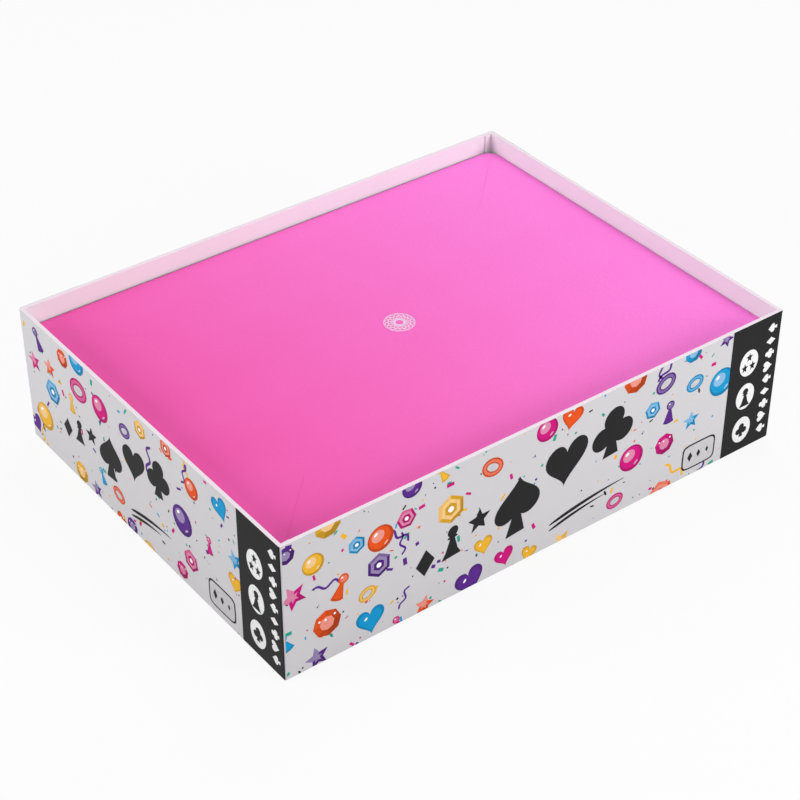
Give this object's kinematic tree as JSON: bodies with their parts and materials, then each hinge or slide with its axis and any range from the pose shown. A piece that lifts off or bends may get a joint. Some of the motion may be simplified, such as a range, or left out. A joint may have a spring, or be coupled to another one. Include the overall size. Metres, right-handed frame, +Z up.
{
  "type": "dice tray",
  "caption": "Open rectangular wrapped-board game box with a folding velvet-lined rolling mat lying flat on a card insert inside it.",
  "frame": {"origin": "middle of the box's underside", "axes": "+X along the long side, +Y along the short side, +Z up out of the open box"},
  "size_m": [0.3, 0.228, 0.078],
  "materials": {
    "printed_paper": "laminated satin, printed",
    "white_paper": "matte",
    "white_card": "matte",
    "greyboard": "matte",
    "stay_tape": "matte",
    "velvet": "short pile",
    "faux_leather": "satin grain",
    "magnet": "nickel plated"
  },
  "bodies": {
    "box": {"box_board": "greyboard", "corner_stays": "stay_tape", "printed_wrap": "printed_paper", "base_label": "white_paper", "inner_liner": "white_paper", "card_insert": "white_card"},
    "mat_base": {"mat_base_lining": "velvet", "mat_base_board": "greyboard", "mat_base_cover": "faux_leather"},
    "front_wall": {"front_wall_lining": "velvet", "front_wall_board": "greyboard", "front_wall_cover": "faux_leather"},
    "front_ear_left": {"front_ear_left_lining": "velvet", "front_ear_left_board": "greyboard", "front_ear_left_cover": "faux_leather", "front_ear_left_magnet": "magnet"},
    "front_ear_right": {"front_ear_right_lining": "velvet", "front_ear_right_board": "greyboard", "front_ear_right_cover": "faux_leather", "front_ear_right_magnet": "magnet"},
    "right_wall": {"right_wall_lining": "velvet", "right_wall_board": "greyboard", "right_wall_cover": "faux_leather"},
    "right_ear_front": {"right_ear_front_lining": "velvet", "right_ear_front_board": "greyboard", "right_ear_front_cover": "faux_leather", "right_ear_front_magnet": "magnet"},
    "right_ear_back": {"right_ear_back_lining": "velvet", "right_ear_back_board": "greyboard", "right_ear_back_cover": "faux_leather", "right_ear_back_magnet": "magnet"},
    "back_wall": {"back_wall_lining": "velvet", "back_wall_board": "greyboard", "back_wall_cover": "faux_leather"},
    "back_ear_right": {"back_ear_right_lining": "velvet", "back_ear_right_board": "greyboard", "back_ear_right_cover": "faux_leather", "back_ear_right_magnet": "magnet"},
    "back_ear_left": {"back_ear_left_lining": "velvet", "back_ear_left_board": "greyboard", "back_ear_left_cover": "faux_leather", "back_ear_left_magnet": "magnet"},
    "left_wall": {"left_wall_lining": "velvet", "left_wall_board": "greyboard", "left_wall_cover": "faux_leather"},
    "left_ear_back": {"left_ear_back_lining": "velvet", "left_ear_back_board": "greyboard", "left_ear_back_cover": "faux_leather", "left_ear_back_magnet": "magnet"},
    "left_ear_front": {"left_ear_front_lining": "velvet", "left_ear_front_board": "greyboard", "left_ear_front_cover": "faux_leather", "left_ear_front_magnet": "magnet"}
  },
  "joints": [
    {"name": "mat_lift", "type": "slide", "parent": "box", "child": "mat_base", "axis": [0, 0, 1], "range_m": [0, 0.12]},
    {"name": "front_wall_fold", "type": "hinge", "parent": "mat_base", "child": "front_wall", "pos_m": [0, -0.06865, 0.06735], "axis": [-1, 0, 0], "range_deg": [0, 90]},
    {"name": "front_ear_left_fold", "type": "hinge", "parent": "front_wall", "child": "front_ear_left", "pos_m": [-0.10434, -0.06865, 0.06435], "axis": [0, -1, 0], "range_deg": [0, 45]},
    {"name": "front_ear_right_fold", "type": "hinge", "parent": "front_wall", "child": "front_ear_right", "pos_m": [0.10434, -0.06865, 0.06435], "axis": [0, 1, 0], "range_deg": [0, 45]},
    {"name": "right_wall_fold", "type": "hinge", "parent": "mat_base", "child": "right_wall", "pos_m": [0.1058, 0, 0.06735], "axis": [0, -1, 0], "range_deg": [0, 90]},
    {"name": "right_ear_front_fold", "type": "hinge", "parent": "right_wall", "child": "right_ear_front", "pos_m": [0.1058, -0.0672, 0.06435], "axis": [1, 0, 0], "range_deg": [0, 45]},
    {"name": "right_ear_back_fold", "type": "hinge", "parent": "right_wall", "child": "right_ear_back", "pos_m": [0.1058, 0.0672, 0.06435], "axis": [-1, 0, 0], "range_deg": [0, 45]},
    {"name": "back_wall_fold", "type": "hinge", "parent": "mat_base", "child": "back_wall", "pos_m": [0, 0.06865, 0.06735], "axis": [1, 0, 0], "range_deg": [0, 90]},
    {"name": "back_ear_right_fold", "type": "hinge", "parent": "back_wall", "child": "back_ear_right", "pos_m": [0.10434, 0.06865, 0.06435], "axis": [0, 1, 0], "range_deg": [0, 45]},
    {"name": "back_ear_left_fold", "type": "hinge", "parent": "back_wall", "child": "back_ear_left", "pos_m": [-0.10434, 0.06865, 0.06435], "axis": [0, -1, 0], "range_deg": [0, 45]},
    {"name": "left_wall_fold", "type": "hinge", "parent": "mat_base", "child": "left_wall", "pos_m": [-0.1058, 0, 0.06735], "axis": [0, 1, 0], "range_deg": [0, 90]},
    {"name": "left_ear_back_fold", "type": "hinge", "parent": "left_wall", "child": "left_ear_back", "pos_m": [-0.1058, 0.0672, 0.06435], "axis": [-1, 0, 0], "range_deg": [0, 45]},
    {"name": "left_ear_front_fold", "type": "hinge", "parent": "left_wall", "child": "left_ear_front", "pos_m": [-0.1058, -0.0672, 0.06435], "axis": [1, 0, 0], "range_deg": [0, 45]}
  ],
  "couplings": [
    {"joint": "front_ear_left_fold", "follows": "front_wall_fold", "ratio": 0.5},
    {"joint": "front_ear_right_fold", "follows": "front_wall_fold", "ratio": 0.5},
    {"joint": "right_wall_fold", "follows": "front_wall_fold", "ratio": 1},
    {"joint": "right_ear_front_fold", "follows": "front_wall_fold", "ratio": 0.5},
    {"joint": "right_ear_back_fold", "follows": "front_wall_fold", "ratio": 0.5},
    {"joint": "back_wall_fold", "follows": "front_wall_fold", "ratio": 1},
    {"joint": "back_ear_right_fold", "follows": "front_wall_fold", "ratio": 0.5},
    {"joint": "back_ear_left_fold", "follows": "front_wall_fold", "ratio": 0.5},
    {"joint": "left_wall_fold", "follows": "front_wall_fold", "ratio": 1},
    {"joint": "left_ear_back_fold", "follows": "front_wall_fold", "ratio": 0.5},
    {"joint": "left_ear_front_fold", "follows": "front_wall_fold", "ratio": 0.5}
  ]
}
